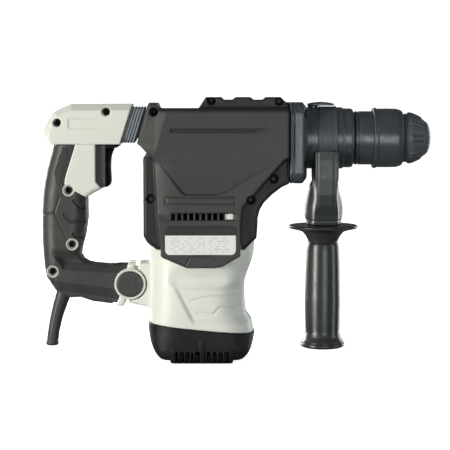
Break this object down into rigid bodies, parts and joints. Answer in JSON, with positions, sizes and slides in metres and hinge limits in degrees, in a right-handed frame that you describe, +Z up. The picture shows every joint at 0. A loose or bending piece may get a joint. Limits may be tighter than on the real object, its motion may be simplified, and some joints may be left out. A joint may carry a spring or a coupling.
{
  "type": "rotary hammer",
  "caption": "Rotary hammer with an upright motor, a sprung rear D-handle with a trigger, a slide-back bit chuck and a swivelling side handle.",
  "frame": {"origin": "on the motor's axis at the flat foot of the motor's end cap, where the tool stands", "axes": "+X along the tool's axis towards the chuck, +Z up along the motor's axis, +Y to the tool's left side"},
  "size_m": [0.3862, 0.0919, 0.2615],
  "materials": {
    "cover_plastic": "fine moulded texture, dark grey",
    "nose_metal": "semi-gloss dark grey coating",
    "white_plastic": "satin light grey",
    "soft_rubber": "matte soft overmould",
    "black_plastic": "matte moulded black",
    "grip_plastic": "satin moulded dark grey",
    "tool_steel": "ground and oiled",
    "cast_aluminium": "as cast",
    "core_steel": "laminated sheet",
    "copper": "enamelled wire and copper bars",
    "carbon": "pressed carbon",
    "label_film": "printed film, blank"
  },
  "bodies": {
    "housing": {"gear_cover_right": "cover_plastic", "gear_cover_left": "cover_plastic", "rating_plate": "label_film", "gear_case": "cast_aluminium", "motor_housing": "white_plastic", "motor_end_cap": "black_plastic", "barrel_housing": "nose_metal", "flange_screw_1": "tool_steel", "flange_screw_2": "tool_steel", "flange_screw_3": "tool_steel", "flange_screw_4": "tool_steel", "spindle_bearing": "tool_steel", "crank_bearing": "tool_steel", "intermediate_bearing": "tool_steel", "armature_bearing_top": "tool_steel", "armature_bearing_bottom": "tool_steel", "stator_core": "core_steel", "field_coil_right": "copper", "field_coil_left": "copper", "brush_holder_right": "black_plastic", "brush_holder_left": "black_plastic", "carbon_brush_right": "carbon", "carbon_brush_left": "carbon", "pivot_pin": "tool_steel", "bellows": "soft_rubber"},
    "rear_handle": {"handle_shell_right": "white_plastic", "handle_shell_left": "white_plastic", "grip_overmould_right": "soft_rubber", "grip_overmould_left": "soft_rubber", "pivot_cap_right": "soft_rubber", "pivot_cap_left": "soft_rubber", "switch_body": "black_plastic", "strain_relief": "soft_rubber"},
    "trigger_lever": {"trigger": "black_plastic"},
    "mode_selector": {"mode_lever": "nose_metal"},
    "side_clamp": {"clamp_strap": "tool_steel", "clamp_saddle": "grip_plastic", "clamp_bolt": "tool_steel"},
    "side_handle_grip": {"side_grip": "grip_plastic"},
    "armature": {"armature_shaft": "tool_steel", "armature_core": "core_steel", "commutator": "copper", "fan": "black_plastic"},
    "crank": {"crank_gear": "tool_steel"},
    "intermediate_shaft": {"intermediate_gear": "tool_steel"},
    "tool_spindle": {"spindle": "tool_steel", "bevel_ring_gear": "tool_steel", "chuck_ring": "nose_metal", "lock_ball_top": "tool_steel", "lock_ball_bottom": "tool_steel", "dust_cap": "soft_rubber"},
    "chuck_sleeve": {"lock_sleeve": "nose_metal", "sleeve_spring": "tool_steel"},
    "piston_unit": {"piston": "cast_aluminium", "wrist_pin": "tool_steel", "con_rod": "cast_aluminium"},
    "striker_unit": {"striker": "tool_steel"},
    "beat_piece": {"impact_bolt": "tool_steel"}
  },
  "joints": [
    {"name": "handle_pivot", "type": "hinge", "parent": "housing", "child": "rear_handle", "pos_m": [-0.0712, 0, 0.0767], "axis": [0, 1, 0], "range_deg": [-1.2, 1.2], "stiffness_Nm_per_rad": 400, "deforming": ["bellows"]},
    {"name": "trigger_slide", "type": "slide", "parent": "rear_handle", "child": "trigger_lever", "axis": [-1, 0, 0], "range_m": [0, 0.006], "stiffness_N_per_m": 600, "springref_m": -0.002},
    {"name": "mode_lever_turn", "type": "hinge", "parent": "housing", "child": "mode_selector", "pos_m": [0.1103, 0, 0.253], "axis": [0, 0, 1], "range_deg": [0, 90]},
    {"name": "clamp_swivel", "type": "hinge", "parent": "housing", "child": "side_clamp", "pos_m": [0.121, 0, 0.221], "axis": [1, 0, 0], "range_deg": [-65, 65]},
    {"name": "side_grip_screw", "type": "hinge", "parent": "side_clamp", "child": "side_handle_grip", "pos_m": [0.121, 0, 0.09], "axis": [0, 0, 1], "range_deg": [-360, 0]},
    {"name": "armature_spin", "type": "hinge", "parent": "housing", "child": "armature", "pos_m": [0, 0, 0.1], "axis": [0, 0, 1], "continuous": true},
    {"name": "crank_spin", "type": "hinge", "parent": "housing", "child": "crank", "pos_m": [-0.0252, 0, 0.19], "axis": [0, 0, 1], "continuous": true},
    {"name": "intermediate_spin", "type": "hinge", "parent": "housing", "child": "intermediate_shaft", "pos_m": [0.0228, 0, 0.18], "axis": [0, 0, 1], "continuous": true},
    {"name": "spindle_spin", "type": "hinge", "parent": "housing", "child": "tool_spindle", "pos_m": [0.1, 0, 0.221], "axis": [1, 0, 0], "continuous": true},
    {"name": "sleeve_slide", "type": "slide", "parent": "tool_spindle", "child": "chuck_sleeve", "axis": [-1, 0, 0], "range_m": [0, 0.008], "stiffness_N_per_m": 1500, "springref_m": -0.002, "deforming": ["sleeve_spring"]},
    {"name": "piston_slide", "type": "slide", "parent": "housing", "child": "piston_unit", "axis": [1, 0, 0], "range_m": [-0.01, 0.01]},
    {"name": "striker_slide", "type": "slide", "parent": "housing", "child": "striker_unit", "axis": [1, 0, 0], "range_m": [0, 0.008]},
    {"name": "impact_bolt_slide", "type": "slide", "parent": "housing", "child": "beat_piece", "axis": [1, 0, 0], "range_m": [0, 0.006]}
  ],
  "couplings": [
    {"joint": "crank_spin", "follows": "armature_spin", "ratio": -0.23529},
    {"joint": "intermediate_spin", "follows": "armature_spin", "ratio": -0.26667},
    {"joint": "spindle_spin", "follows": "armature_spin", "ratio": -0.088889}
  ]
}
